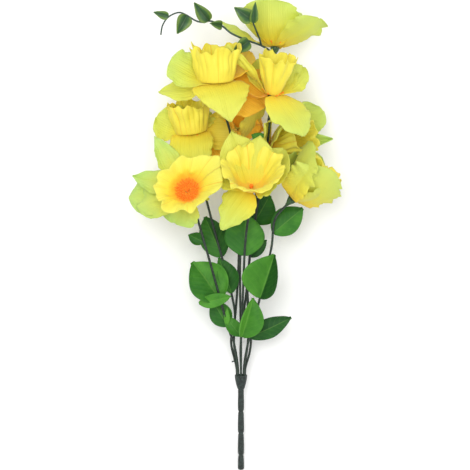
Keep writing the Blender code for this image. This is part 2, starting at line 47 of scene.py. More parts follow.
# Each head as in the frame, in millimetres: base and facing, its socket's turn in the collar, and the
# places that its stem passes. A corona has its rim, its depth and how it bellies. A petal has the
# place of its tip, the bend along it, its width, how its sides cup, and its tint: 1 airbrushed lime
# at the tip, -1 a deep orange-yellow that is painted shade, for petals that lie deep between the
# heads. "layer" is its place in the stack of petals, "stub" a level along the stem, and what else a
# petal or corona names replaces a value of petalCut or coronaCut.
heads = [
    {"base": (39, 189, 62), "facing": (0.12, 0.97, -0.15), "socket": 270,
     "through": [(12, -40, 34), (22, 60, 28), (33, 120, 40)],
     "corona": {"rim": 20, "depth": 26, "belly": 0.7},
     "petals": [
         {"tip": (83, 217, 86), "bend": 18, "width": 50, "cup": 15, "tint": 0.5, "point": 0.1,
          "fray": 0.15, "shoulder": 0.75, "layer": 2},
         {"tip": (62, 226, 40), "bend": 30, "width": 44, "cup": 30, "tint": 0.6},
         {"tip": (36, 230, 30), "bend": 30, "width": 44, "cup": 30, "tint": 0.5},
         {"tip": (6, 224, 42), "bend": 30, "width": 44, "cup": 30, "tint": 0.5},
         {"tip": (-15, 214, 68), "bend": 14, "width": 26, "cup": 0, "tint": 0.5, "ruffle": 0.5,
          "crumple": 1.5, "twist": -35},
         {"tip": (33, 235, 88), "bend": 26, "width": 58, "cup": 30, "tint": 0.5, "point": 0.0,
          "shoulder": 0.7}]},
    {"base": (-20, 152, 95), "facing": (-0.03, 0.93, 0.36), "socket": None,
     "through": [(4, -40, 46), (4, 50, 56), (-8, 112, 74)],
     "corona": {"rim": 25, "depth": 34, "belly": 0.6, "lean": 8, "foot": 17, "flutes": 22,
                "pleat": 0.09, "throat": 0.1, "frill": 1.8},
     "petals": [
         {"tip": (-5, 111, 130), "bend": -70, "width": 58, "cup": -14, "tint": 0.1, "point": 1.0,
          "shoulder": 0.22, "foot": 0.85, "layer": 3},
         {"tip": (30, 130, 88), "bend": -15, "width": 62, "cup": 10, "tint": -0.7, "twist": 40},
         {"tip": (14, 184, 70), "bend": 10, "width": 46, "cup": 20, "tint": -0.5},
         {"tip": (-36, 182, 62), "bend": 10, "width": 42, "cup": 20, "tint": 0.3},
         {"tip": (-77, 143, 88), "bend": 12, "width": 32, "cup": 12, "tint": 0.2, "twist": -45,
          "point": 1.0, "shoulder": 0.45, "foot": 0.6},
         {"tip": (-66, 172, 104), "bend": 12, "width": 40, "cup": 12, "tint": 0.6, "twist": -45,
          "point": 0.0, "shoulder": 0.7, "foot": 0.6}]},
    {"base": (36, 139, 92), "facing": (0.15, 0.93, 0.33), "socket": 0,
     "through": [(12, -40, 44), (26, 60, 61), (33, 105, 79)],
     "corona": {"rim": 19, "depth": 39, "belly": 0.7, "lip": 0.1, "flutes": 7, "foot": 6, "frill": 1.8},
     "petals": [
         {"tip": (66, 97, 118), "bend": -30, "width": 46, "cup": -8, "tint": 0.45, "twist": 15,
          "shoulder": 0.3, "foot": 0.6, "layer": 2},
         {"tip": (67, 170, 72), "bend": 12, "width": 34, "cup": 15, "tint": 0.3, "twist": 30,
          "point": 0.3},
         {"tip": (48, 176, 60), "bend": 10, "width": 42, "cup": 20, "tint": 0.3},
         {"tip": (20, 178, 62), "bend": 10, "width": 42, "cup": 20, "tint": 0.1},
         {"tip": (-9, 189, 104), "bend": -6, "width": 15, "cup": 10, "tint": 0.0, "twist": 65,
          "shoulder": 0.4, "foot": 0.6, "point": 0.8, "layer": 2},
         {"tip": (8, 128, 82), "bend": -10, "width": 44, "cup": 10, "tint": -0.7, "shoulder": 0.4,
          "foot": 0.6, "twist": 45}]},
    {"base": (37, 91, 45), "facing": (0.72, 0.20, 0.66), "socket": 315,
     "through": [(12, -40, 38), (20, 40, 40)],
     "corona": {"rim": 20, "depth": 44, "belly": 0.5, "pleat": 0.2, "throat": 0.6},
     "petals": [
         {"tip": (64, 66, 60), "bend": 0, "width": 30, "cup": 10, "tint": 0.1},
         {"tip": (97, 98, 56), "bend": -8, "width": 20, "cup": 12, "tint": 0.9, "point": 1.0},
         {"tip": (85, 129, 54), "bend": 10, "width": 38, "cup": 12, "tint": 0.6, "point": 0.0,
          "shoulder": 0.75},
         {"tip": (54, 121, 92), "bend": 10, "width": 46, "cup": 15, "tint": 0.1},
         {"tip": (30, 112, 88), "bend": 10, "width": 36, "cup": 20, "tint": 0.0},
         {"tip": (28, 78, 68), "bend": 0, "width": 24, "cup": 10, "tint": 0.0}]},
    {"base": (56, 37, 76), "facing": (0.68, 0.70, 0.20), "socket": 45,
     "through": [(23, -65, 50), (35, -13, 62)],
     "corona": {"rim": 20, "depth": 47, "belly": 0.6, "lip": 0.35, "flutes": 9, "frill": 2},
     "petals": [
         {"tip": (97, 63, 106), "bend": 50, "width": 68, "cup": 45, "tint": 0.5,
          "fray": 0.25, "crumple": 1.5, "foot": 0.6, "layer": 3},
         {"tip": (97, 50, 84), "bend": 55, "width": 50, "cup": 45, "tint": 0.4, "foot": 0.6},
         {"tip": (95, 66, 56), "bend": 55, "width": 44, "cup": 35, "tint": 0.5},
         {"tip": (84, 82, 52), "bend": 55, "width": 44, "cup": 35, "tint": 0.6},
         {"tip": (72, 88, 64), "bend": 55, "width": 44, "cup": 35, "tint": 0.6},
         {"tip": (77, 91, 100), "bend": 40, "width": 64, "cup": 35, "tint": 0.4, "point": 0.3,
          "fray": 0.25, "crumple": 1.5, "foot": 0.6, "layer": 2}]},
    {"base": (15, 46, 104), "facing": (0.05, 0.72, 0.69), "socket": 90,
     "through": [(6, -84, 46), (9, -10, 72)],
     "corona": {"rim": 32, "depth": 28, "belly": 0.5, "dip": (4, 0), "fringe": 0, "spray": 0.4,
                "throat": 0.5, "frill": 1.8},
     "petals": [
         {"tip": (-14, 5, 108), "bend": -16, "width": 40, "cup": -6, "tint": 0.5, "point": 1.0,
          "shoulder": 0.3, "foot": 0.5},
         {"tip": (40, 48, 112), "bend": -30, "width": 40, "cup": 10, "tint": 0.1},
         {"tip": (48, 86, 92), "bend": 20, "width": 44, "cup": 10, "tint": 0.1},
         {"tip": (24, 99, 100), "bend": -10, "width": 44, "cup": 10, "tint": 0.1, "point": 1.0},
         {"tip": (-5, 103, 104), "bend": -10, "width": 50, "cup": 10, "tint": 0.1, "point": 1.0},
         {"tip": (-20, 62, 100), "bend": -10, "width": 36, "cup": 10, "tint": 0.1}]},
    {"base": (-48, 44, 98), "facing": (-0.15, 0.30, 0.94), "socket": 135,
     "through": [(-8, -90, 46), (-29, -15, 68)],
     "corona": {"rim": 32, "depth": 19, "belly": 0.95, "mouth": (1, 0.82), "flare": (10, 95),
                "foot": 10, "frill": 1.7, "fringe": 60, "throat": 1, "lip": 0.1, "spray": 0.6},
     "petals": [
         {"tip": (-81, 99, 88), "bend": 4, "width": 24, "cup": 12, "tint": 0.9, "point": 1.0},
         {"tip": (-103, 60, 84), "bend": -6, "width": 26, "cup": 10, "tint": 1.0, "point": 0.9},
         {"tip": (-106, 38, 80), "bend": -8, "width": 44, "cup": 10, "tint": 0.9, "point": 0.2},
         {"tip": (-98, 28, 88), "bend": -10, "width": 38, "cup": 10, "tint": 0.8, "point": 0.3},
         {"tip": (-61, 12, 90), "bend": -14, "width": 46, "cup": 8, "tint": 0.9, "point": 0.1},
         {"tip": (-31, 49, 82), "bend": -20, "width": 34, "cup": 10, "tint": 0.2}]},
    {"base": (-44, 103, 62.5), "facing": (-0.12, 0.80, 0.59), "socket": 180, "stub": -124,
     "through": [(-2, -69, 40), (-26, 23, 50)],
     "corona": {"rim": 22, "depth": 30, "belly": 0.6, "lean": 22, "foot": 15, "flutes": 20,
                "pleat": 0.09, "throat": 0.1, "frill": 1.6},
     "petals": [
         {"tip": (-43, 62, 96), "bend": -50, "width": 44, "cup": -8, "tint": 0.1, "point": 0.2,
          "shoulder": 0.3, "foot": 0.9, "layer": 6},
         {"tip": (-15, 63, 70), "bend": -20, "width": 46, "cup": 10, "tint": -0.7},
         {"tip": (1, 106, 66), "bend": 0, "width": 42, "cup": 10, "tint": -0.2, "twist": 30},
         {"tip": (-34, 128, 44), "bend": 5, "width": 40, "cup": 10, "tint": 0.3},
         {"tip": (-56, 126, 44), "bend": 5, "width": 40, "cup": 10, "tint": 0.3},
         {"tip": (-79, 121, 58), "bend": 10, "width": 44, "cup": 12, "tint": 0.3, "twist": -30,
          "point": 0.1}]},
    # Head 9 lies deep between the others, so most of its petals carry painted shade.
    {"base": (6, 100, 44), "facing": (0.10, 0.80, 0.60), "socket": 225,
     "through": [(2, -40, 32), (4, 40, 28)],
     "corona": {"rim": 11, "depth": 16, "belly": 0.6},
     "petals": [
         {"tip": (8, 126, 76), "bend": 10, "width": 38, "cup": 20, "tint": -0.9},
         {"tip": (24, 128, 84), "bend": 20, "width": 34, "cup": 45, "tint": -0.2, "point": 0.1},
         {"tip": (24, 118, 40), "bend": 10, "width": 30, "cup": 20, "tint": -0.8},
         {"tip": (8, 134, 26), "bend": 0, "width": 36, "cup": 10, "tint": -0.8},
         {"tip": (-12, 122, 40), "bend": 10, "width": 30, "cup": 20, "tint": -0.8},
         {"tip": (-8, 118, 64), "bend": 10, "width": 36, "cup": 20, "tint": -0.8}]},
]


def linear(colour):
    # sRGB hex to the linear values that a shader takes.
    parts = [int(colour[i:i + 2], 16) / 255 for i in (1, 3, 5)]
    return (*[p / 12.92 if p <= 0.04045 else ((p + 0.055) / 1.055) ** 2.4 for p in parts], 1.0)


def smooth(low, high, value):
    share = min(max((value - low) / (high - low), 0.0), 1.0)
    return share * share * (3 - 2 * share)


def nodeEnd(name, direction):
    # The middle of a frame node's face that lies farthest along a direction.
    spots = {tuple(round(c, 5) for c in vertex.co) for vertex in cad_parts[name].data.vertices}
    reach = max(Vector(spot).dot(direction) for spot in spots)
    far = [Vector(spot) for spot in spots if Vector(spot).dot(direction) > reach - 0.0001]
    return sum(far, Vector()) / len(far)


lying = Matrix.Rotation(math.radians(bunch["lyingTilt"]), 3, "X")
skyward = lying @ Vector((0, 0, 1))
frontHead = heads[1]
bunchShift = (nodeEnd("calyx_2", lying @ Vector(frontHead["facing"]).normalized())
              - lying @ (Vector(frontHead["base"]) * 0.001))


def placed(point):
    # A place of the arrangement, in millimetres, as it lies in the frame.
    return lying @ (Vector(point) * 0.001) + bunchShift


def headMatrix(origin, forward):
    # Local +Z looks along forward, and local -Y is the side nearest to the sky.
    axis = forward.normalized()
    side = axis.cross(skyward).normalized()
    turn = Matrix((side, axis.cross(side), axis)).transposed().to_4x4()
    return Matrix.Translation(origin) @ turn


# Nodes and materials

def addNode(tree, kind, settings=None, links=None):
    # A shader node with its settings, and links from its sockets to other nodes' outputs.
    made = tree.nodes.new(kind)
    for key, value in (settings or {}).items():
        if isinstance(key, str) and hasattr(made, key):
            setattr(made, key, value)
        else:
            made.inputs[key].default_value = value
    for key, source in (links or {}).items():
        tree.links.new(source, made.inputs[key])
    return made


def startMaterial(name):
    made = bpy.data.materials.new(name)
    made.use_nodes = True
    made.node_tree.nodes.clear()
    return made, made.node_tree


def fillRamp(ramp, stops):
    band = ramp.color_ramp
    while len(band.elements) < len(stops):
        band.elements.new(0.5)
    for element, (position, colour) in zip(band.elements, stops):
        element.position = position
        element.color = linear(colour)


def clothParts(tree):
    # What every cloth reads: its place on the cut (along, across, tint) and its size in millimetres.
    place = addNode(tree, "ShaderNodeAttribute", {"attribute_name": "clothPlace"})
    size = addNode(tree, "ShaderNodeAttribute", {"attribute_name": "clothSize"})
    along = addNode(tree, "ShaderNodeSeparateXYZ", links={0: place.outputs["Vector"]})
    return along, size


def weaveBump(tree, size, creaseStretch, creaseDepth, veinSpacing, veinDepth):
    # Threads of 0.15 mm are too fine to show, so the weave is drawn at 0.5 mm.
    spots = addNode(tree, "ShaderNodeSeparateXYZ", links={0: size.outputs["Vector"]})
    threads = addNode(tree, "ShaderNodeTexChecker", {"Scale": 2.0}, {"Vector": size.outputs["Vector"]})
    weave = addNode(tree, "ShaderNodeBump", {"Strength": 0.12, "Distance": 0.00005},
                    {"Height": threads.outputs["Fac"]})
    stretched = addNode(tree, "ShaderNodeVectorMath", {"operation": "MULTIPLY", 1: creaseStretch},
                        {0: size.outputs["Vector"]})
    creases = addNode(tree, "ShaderNodeTexNoise", {"Scale": 1.0, "Detail": 3.0, "Roughness": 0.55},
                      {"Vector": stretched.outputs["Vector"]})
    creased = addNode(tree, "ShaderNodeBump", {"Strength": 0.7, "Distance": creaseDepth},
                      {"Height": creases.outputs["Fac"], "Normal": weave.outputs["Normal"]})
    veinTurn = addNode(tree, "ShaderNodeMath", {"operation": "MULTIPLY", 1: 2 * math.pi / veinSpacing},
                       {0: spots.outputs["Y"]})
    veinWave = addNode(tree, "ShaderNodeMath", {"operation": "COSINE"}, {0: veinTurn.outputs[0]})
    return addNode(tree, "ShaderNodeBump", {"Strength": 0.5, "Distance": veinDepth},
                   {"Height": veinWave.outputs[0], "Normal": creased.outputs["Normal"]})


def clothSurface(tree, colour, bump, finish, sheen):
    # Dyed cloth: a soft sheen on top, and light that comes through from behind.
    skin = addNode(tree, "ShaderNodeBsdfPrincipled",
                   {"Roughness": finish["roughness"], "IOR": finish["ior"], **sheen},
                   {"Base Color": colour, "Normal": bump.outputs["Normal"]})
    back = addNode(tree, "ShaderNodeBsdfTranslucent",
                   links={"Color": colour, "Normal": bump.outputs["Normal"]})
    both = addNode(tree, "ShaderNodeMixShader", {0: finish["through"]},
                   {1: skin.outputs[0], 2: back.outputs[0]})
    addNode(tree, "ShaderNodeOutputMaterial", links={0: both.outputs[0]})


taffetaSheen = {"Sheen Weight": 0.15, "Sheen Roughness": 0.4, "Specular IOR Level": 0.35}

# Petals: polyester taffeta, dyed in the piece, airbrushed lime at the tips and heat-pressed, which
# gives a fine weave, parallel pressed veins and soft streaks. Petals with a negative tint are mixed
# towards a deep orange-yellow, which is painted shade.
petalCloth = {
    "stops": [(0.0, "#f5da38"), (0.08, "#f5e040"), (0.2, "#f2e548"), (0.5, "#e9e656"), (1.0, "#e4e668")],
    "lime": "#c3e07a", "limeStart": 0.25, "limeEnd": 1.05, "paintedShadeGolden": "#ffbe24",
    "roughness": 0.62, "ior": 1.55,
    "veinSpacing": 2.3, "veinDepth": 0.00010, "creaseDepth": 0.0012, "through": 0.32,
}


def makePetalTaffeta():
    made, tree = startMaterial("dyedTaffetaWithPaintedShade")
    along, size = clothParts(tree)
    drift = addNode(tree, "ShaderNodeTexNoise", {"Scale": 0.06, "Detail": 3.0},
                    {"Vector": size.outputs["Vector"]})
    shifted = addNode(tree, "ShaderNodeMath", {"operation": "MULTIPLY_ADD", 1: 0.22, 2: -0.11},
                      {0: drift.outputs["Fac"]})
    level = addNode(tree, "ShaderNodeMath", {"operation": "ADD"},
                    {0: along.outputs["X"], 1: shifted.outputs[0]})
    dye = addNode(tree, "ShaderNodeValToRGB", links={0: level.outputs[0]})
    fillRamp(dye, petalCloth["stops"])
    edge = addNode(tree, "ShaderNodeMath", {"operation": "ABSOLUTE"}, {0: along.outputs["Y"]})
    reach = addNode(tree, "ShaderNodeMath", {"operation": "MULTIPLY_ADD", 1: 0.25},
                    {0: edge.outputs[0], 2: level.outputs[0]})
    tip = addNode(tree, "ShaderNodeMapRange",
                  {"From Min": petalCloth["limeStart"], "From Max": petalCloth["limeEnd"]},
                  {"Value": reach.outputs[0]})
    amount = addNode(tree, "ShaderNodeMath", {"operation": "MULTIPLY", "use_clamp": True},
                     {0: tip.outputs[0], 1: along.outputs["Z"]})
    tinted = addNode(tree, "ShaderNodeMix", {"data_type": "RGBA", 7: linear(petalCloth["lime"])},
                     {0: amount.outputs[0], 6: dye.outputs[0]})
    # A negative tint mixes in the deep orange-yellow: painted shade for petals that lie deep between the
    # heads.
    paintedShadeAmount = addNode(tree, "ShaderNodeMath", {"operation": "MULTIPLY", 1: -1.0, "use_clamp": True},
                     {0: along.outputs["Z"]})
    dyeAndPaintedShade = addNode(tree, "ShaderNodeMix", {"data_type": "RGBA", 7: linear(petalCloth["paintedShadeGolden"])},
                   {0: paintedShadeAmount.outputs[0], 6: tinted.outputs[2]})
    bump = weaveBump(tree, size, (0.03, 0.30, 0.3), petalCloth["creaseDepth"],
                     petalCloth["veinSpacing"], petalCloth["veinDepth"])
    clothSurface(tree, dyeAndPaintedShade.outputs[2], bump, petalCloth, taffetaSheen)
    return made


# Coronas: the same taffeta pleated on a hot press and airbrushed orange in the throat, which gives
# deep flutes and a ragged rim. A darker orange along each crease is painted shade.
coronaCloth = {
    "stops": [(0.0, "#ffb02a"), (0.16, "#ffae2a"), (0.32, "#fcca34"), (0.5, "#f3e448"),
              (1.0, "#ece862")],
    "plain": "#f1e54e", "paintedCreaseShade": "#ffc018", "roughness": 0.6, "ior": 1.55,
    "veinSpacing": 1.9, "veinDepth": 0.00010, "creaseDepth": 0.0007, "through": 0.2,
}


def makeCoronaTaffeta():
    made, tree = startMaterial("pleatedTaffetaWithPaintedShade")
    along, size = clothParts(tree)
    drift = addNode(tree, "ShaderNodeTexNoise", {"Scale": 0.12, "Detail": 2.0},
                    {"Vector": size.outputs["Vector"]})
    level = addNode(tree, "ShaderNodeMath", {"operation": "MULTIPLY_ADD", 1: 0.16},
                    {0: drift.outputs["Fac"], 2: along.outputs["X"]})
    lowered = addNode(tree, "ShaderNodeMath", {"operation": "SUBTRACT", 1: 0.08}, {0: level.outputs[0]})
    dye = addNode(tree, "ShaderNodeValToRGB", links={0: lowered.outputs[0]})
    fillRamp(dye, coronaCloth["stops"])
    plain = addNode(tree, "ShaderNodeMix", {"data_type": "RGBA", 6: linear(coronaCloth["plain"])},
                    {0: along.outputs["Z"], 7: dye.outputs[0]})
    # Painted shade: the crease colour is multiplied in where each flute folds in.
    paintedCreaseShade = addNode(tree, "ShaderNodeMapRange", {"From Min": 0.3, "From Max": 0.0, "To Max": 0.8},
                     {"Value": along.outputs["Y"]})
    tinted = addNode(tree, "ShaderNodeMix", {"data_type": "RGBA", "blend_type": "MULTIPLY",
                                             7: linear(coronaCloth["paintedCreaseShade"])},
                     {0: paintedCreaseShade.outputs[0], 6: plain.outputs[2]})
    bump = weaveBump(tree, size, (0.05, 0.35, 0.3), coronaCloth["creaseDepth"],
                     coronaCloth["veinSpacing"], coronaCloth["veinDepth"])
    clothSurface(tree, tinted.outputs[2], bump, coronaCloth, taffetaSheen)
    return made


# Leaves: green polyester satin, heat-pressed, which gives a light midrib, soft side veins and a
# dull satin shine.
leafCloth = {
    "dark": "#12431a", "middle": "#2f7020", "light": "#569c2e", "rib": "#7cb04a",
    "roughness": 0.6, "ior": 1.5, "through": 0.16, "veinSpacing": 6.0,
}


def makeLeafSatin():
    made, tree = startMaterial("greenSatinWithPaintedLightAndShade")
    along, size = clothParts(tree)
    drift = addNode(tree, "ShaderNodeTexNoise", {"Scale": 0.07, "Detail": 3.0},
                    {"Vector": size.outputs["Vector"]})
    spots = addNode(tree, "ShaderNodeSeparateXYZ", links={0: size.outputs["Vector"]})
    edge = addNode(tree, "ShaderNodeMath", {"operation": "ABSOLUTE"}, {0: along.outputs["Y"]})
    lateral = addNode(tree, "ShaderNodeMath", {"operation": "ABSOLUTE"}, {0: spots.outputs["Y"]})
    wander = addNode(tree, "ShaderNodeMath", {"operation": "MULTIPLY_ADD", 1: 6.0},
                     {0: drift.outputs["Fac"], 2: spots.outputs["X"]})
    slanted = addNode(tree, "ShaderNodeMath", {"operation": "MULTIPLY_ADD", 1: -0.8},
                      {0: lateral.outputs[0], 2: wander.outputs[0]})
    veinTurn = addNode(tree, "ShaderNodeMath",
                       {"operation": "MULTIPLY", 1: 2 * math.pi / leafCloth["veinSpacing"]},
                       {0: slanted.outputs[0]})
    veinWave = addNode(tree, "ShaderNodeMath", {"operation": "COSINE"}, {0: veinTurn.outputs[0]})
    veinLine = addNode(tree, "ShaderNodeMapRange", {"From Min": 0.6, "From Max": 1.0, "To Max": 0.05},
                       {"Value": veinWave.outputs[0]})
    # The tone from clothPlace Z is partly each leaf's own green and partly painted light and shade, set
    # per half by how that half faces the light.
    tone = addNode(tree, "ShaderNodeMath", {"operation": "MULTIPLY_ADD", 1: 0.5},
                   {0: drift.outputs["Fac"], 2: along.outputs["Z"]})
    dye = addNode(tree, "ShaderNodeValToRGB", links={0: tone.outputs[0]})
    fillRamp(dye, [(0.15, leafCloth["dark"]), (0.65, leafCloth["middle"]), (1.1, leafCloth["light"])])
    ribLine = addNode(tree, "ShaderNodeMapRange", {"From Min": 0.06, "From Max": 0.0, "To Max": 0.35},
                      {"Value": edge.outputs[0]})
    lines = addNode(tree, "ShaderNodeMath", {"operation": "MAXIMUM"},
                    {0: ribLine.outputs[0], 1: veinLine.outputs[0]})
    tinted = addNode(tree, "ShaderNodeMix", {"data_type": "RGBA", 7: linear(leafCloth["rib"])},
                     {0: lines.outputs[0], 6: dye.outputs[0]})
    threads = addNode(tree, "ShaderNodeTexChecker", {"Scale": 2.0}, {"Vector": size.outputs["Vector"]})
    weave = addNode(tree, "ShaderNodeBump", {"Strength": 0.1, "Distance": 0.00005},
                    {"Height": threads.outputs["Fac"]})
    veined = addNode(tree, "ShaderNodeBump", {"Strength": 0.25, "Distance": 0.0003},
                     {"Height": veinWave.outputs[0], "Normal": weave.outputs["Normal"]})
    clothSurface(tree, tinted.outputs[2], veined, leafCloth, {"Specular IOR Level": 0.3})
    return made


def makePlastic(name, colours, roughness, ior, mottleSize, depth):
    # Moulded polyethylene: two close tones in soft blotches, and a faint pebble from the mould.
    made, tree = startMaterial(name)
    where = addNode(tree, "ShaderNodeTexCoord")
    blotch = addNode(tree, "ShaderNodeTexNoise", {"Scale": 1000 / mottleSize, "Detail": 3.0},
                     {"Vector": where.outputs["Object"]})
    tone = addNode(tree, "ShaderNodeValToRGB", links={0: blotch.outputs["Fac"]})
    fillRamp(tone, [(0.35, colours[0]), (0.68, colours[1])])
    pebble = addNode(tree, "ShaderNodeTexNoise", {"Scale": 2500 / mottleSize, "Detail": 2.0},
                     {"Vector": where.outputs["Object"]})
    rough = addNode(tree, "ShaderNodeMapRange", {"To Min": roughness - 0.1, "To Max": roughness + 0.12},
                    {"Value": pebble.outputs["Fac"]})
    bump = addNode(tree, "ShaderNodeBump", {"Strength": 0.6, "Distance": depth},
                   {"Height": pebble.outputs["Fac"]})
    skin = addNode(tree, "ShaderNodeBsdfPrincipled", {"IOR": ior},
                   {"Base Color": tone.outputs[0], "Roughness": rough.outputs[0],
                    "Normal": bump.outputs["Normal"]})
    addNode(tree, "ShaderNodeOutputMaterial", links={0: skin.outputs[0]})
    return made


# Vine leaves: polyethylene moulded dark green, with a yellow-green print that fades in from the
# edge, which gives a glossy leaf with pale veins.
vinePrint = {"stops": [(0.25, "#173a1e"), (0.75, "#2c5824"), (1.0, "#5f7c30")], "rib": "#6f9a4a",
             "roughness": 0.45, "ior": 1.5}


def makeVineLeafPlastic():
    made, tree = startMaterial("printedVinePolyethylene")
    along, size = clothParts(tree)
    edge = addNode(tree, "ShaderNodeMath", {"operation": "ABSOLUTE"}, {0: along.outputs["Y"]})
    drift = addNode(tree, "ShaderNodeTexNoise", {"Scale": 0.25, "Detail": 3.0},
                    {"Vector": size.outputs["Vector"]})
    level = addNode(tree, "ShaderNodeMath", {"operation": "MULTIPLY_ADD", 1: 0.5},
                    {0: drift.outputs["Fac"], 2: edge.outputs[0]})
    fade = addNode(tree, "ShaderNodeValToRGB", links={0: level.outputs[0]})
    fillRamp(fade, vinePrint["stops"])
    rib = addNode(tree, "ShaderNodeMapRange", {"From Min": 0.08, "From Max": 0.0, "To Max": 0.3},
                  {"Value": edge.outputs[0]})
    tinted = addNode(tree, "ShaderNodeMix", {"data_type": "RGBA", 7: linear(vinePrint["rib"])},
                     {0: rib.outputs[0], 6: fade.outputs[0]})
    bump = addNode(tree, "ShaderNodeBump", {"Strength": 0.4, "Distance": 0.0003},
                   {"Height": drift.outputs["Fac"]})
    skin = addNode(tree, "ShaderNodeBsdfPrincipled",
                   {"Roughness": vinePrint["roughness"], "IOR": vinePrint["ior"]},
                   {"Base Color": tinted.outputs[2], "Normal": bump.outputs["Normal"]})
    addNode(tree, "ShaderNodeOutputMaterial", links={0: skin.outputs[0]})
    return made


finishes = {
    "petal": makePetalTaffeta(),
    "corona": makeCoronaTaffeta(),
    "leaf": makeLeafSatin(),
    "handle": makePlastic("mouldedSlatePolyethylene", ("#0d1512", "#2e3d37"), 0.6, 1.5, 2.0, 0.0006),
    "stem": makePlastic("extrudedGreenPolyethylene", ("#0d1a12", "#263a2c"), 0.5, 1.5, 3.0, 0.0001),
    "calyx": makePlastic("mouldedGreenPolyethylene", ("#1f3a1e", "#3c6130"), 0.5, 1.5, 2.0, 0.0001),
    "stamen": makePlastic("flockedOrangePolyethylene", ("#ff7610", "#ff9a26"), 0.8, 1.5, 0.6, 0.0002),
    "vineTwig": makePlastic("wrappedVinePolyethylene", ("#1a3029", "#2f4d40"), 0.45, 1.5, 2.0, 0.0001),
    "vineLeaf": makeVineLeafPlastic(),
}
print("materials made")


# Meshes

def newCloth():
    return {"points": [], "faces": [], "place": [], "size": []}


def addGrid(cloth, grid, wrap=False):
    # Rows of (point, place, size), joined by quads. A wrapped grid closes each row into a ring.
    first = len(cloth["points"])
    columns = len(grid[0])
    for row in grid:
        for point, place, size in row:
            cloth["points"].append(point)
            cloth["place"].append(place)
            cloth["size"].append(size)
    span = columns if wrap else columns - 1
    for i in range(len(grid) - 1):
        for j in range(span):
            a = first + i * columns + j
            b = first + i * columns + (j + 1) % columns
            cloth["faces"].append((a, b, b + columns, a + columns))


def makePiece(name, cloth, finish, nodes, thickness=None):
    mesh = bpy.data.meshes.new(name)
    mesh.from_pydata(cloth["points"], [], cloth["faces"])
    for label, values in (("clothPlace", cloth["place"]), ("clothSize", cloth["size"])):
        held = mesh.attributes.new(label, "FLOAT_VECTOR", "POINT")
        held.data.foreach_set("vector", [c for value in values for c in value])
    mesh.shade_smooth()
    mesh.materials.append(finish)
    piece = bpy.data.objects.new(name, mesh)
    bpy.context.scene.collection.objects.link(piece)
    if thickness:
        shell = piece.modifiers.new("Thickness", "SOLIDIFY")
        shell.thickness = thickness
        shell.offset = 0.0
    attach(piece, "root")
    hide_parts(*nodes)
    return piece


def smoothRoute(points, first, last, steps):
    # Points of a smooth curve through the given ones, which starts along first and ends along last.
    slopes = [first.normalized() * (points[1] - points[0]).length]
    for before, after in zip(points, points[2:]):
        slopes.append((after - before) * 0.5)
    slopes.append(last.normalized() * (points[-1] - points[-2]).length)
    route = [points[0]]
    for i in range(len(points) - 1):
        for step in range(1, steps + 1):
            t = step / steps
            route.append((2 * t ** 3 - 3 * t ** 2 + 1) * points[i]
                         + (t ** 3 - 2 * t ** 2 + t) * slopes[i]
                         + (3 * t ** 2 - 2 * t ** 3) * points[i + 1]
                         + (t ** 3 - t ** 2) * slopes[i + 1])
    return route


def arcStep(length, start, turn, share):
    # Distance out and up along a strip of that length that starts at angle start and bends by turn.
    half = turn * share / 2
    chord = length * share * (math.sin(half) / half if abs(half) > 1e-6 else 1)
    return chord * math.cos(start + half), chord * math.sin(start + half)


def addTube(cloth, route, radii, sides):
    # A closed round rod along a route, with a radius for each point.
    across = None
    grid = []
    for i, point in enumerate(route):
        ahead = (route[min(i + 1, len(route) - 1)] - route[max(i - 1, 0)]).normalized()
        if across is None:
            across = ahead.orthogonal().normalized()
        across = (across - ahead * across.dot(ahead)).normalized()
        over = ahead.cross(across)
        ring = []
        for j in range(sides):
            turn = 2 * math.pi * j / sides
            spot = point + (across * math.cos(turn) + over * math.sin(turn)) * radii[i]
            ring.append((spot, (i / len(route), 0, 0), (0, 0, 0)))
        grid.append(ring)
    first = len(cloth["points"])
    addGrid(cloth, grid, wrap=True)
    last = len(cloth["points"])
    cloth["faces"].append(tuple(reversed(range(first, first + sides))))
    cloth["faces"].append(tuple(range(last - sides, last)))


# Petals. Sizes in millimetres, "twist" in degrees, the rest are shares: "ruffle" is the wave of the
# edge and "waves" their number, "crumple" the large dents, and "fray" the ragged outline.

petalCut = {"rows": 32, "columns": 30, "hub": 5.2, "bore": 1.6, "floor": 0.45, "layer": 0.6,
            "thickness": 0.0004, "ruffle": 1.5, "waves": 3.2, "crumple": 4.0, "veins": 7,
            "veinDepth": 0.14, "ribDepth": 0.4, "fray": 0.10, "point": 0.5, "shoulder": 0.5,
            "foot": 0.34, "twist": 0}


def petalOutline(share, point, shoulder, foot):
    # Half width along a petal: a narrow foot, the widest place at the shoulder, and a tip that is
    # more or less pointed.
    widening = foot + (1 - foot) * math.sin(min(share / shoulder, 1) * math.pi / 2)
    past = max(share - shoulder, 0) / (1 - shoulder)
    roundTip = math.sqrt(max(1 - past ** 2.8, 0))
    sharpTip = 1 - past ** 1.7
    return widening * (roundTip * (1 - point) + sharpTip * point)


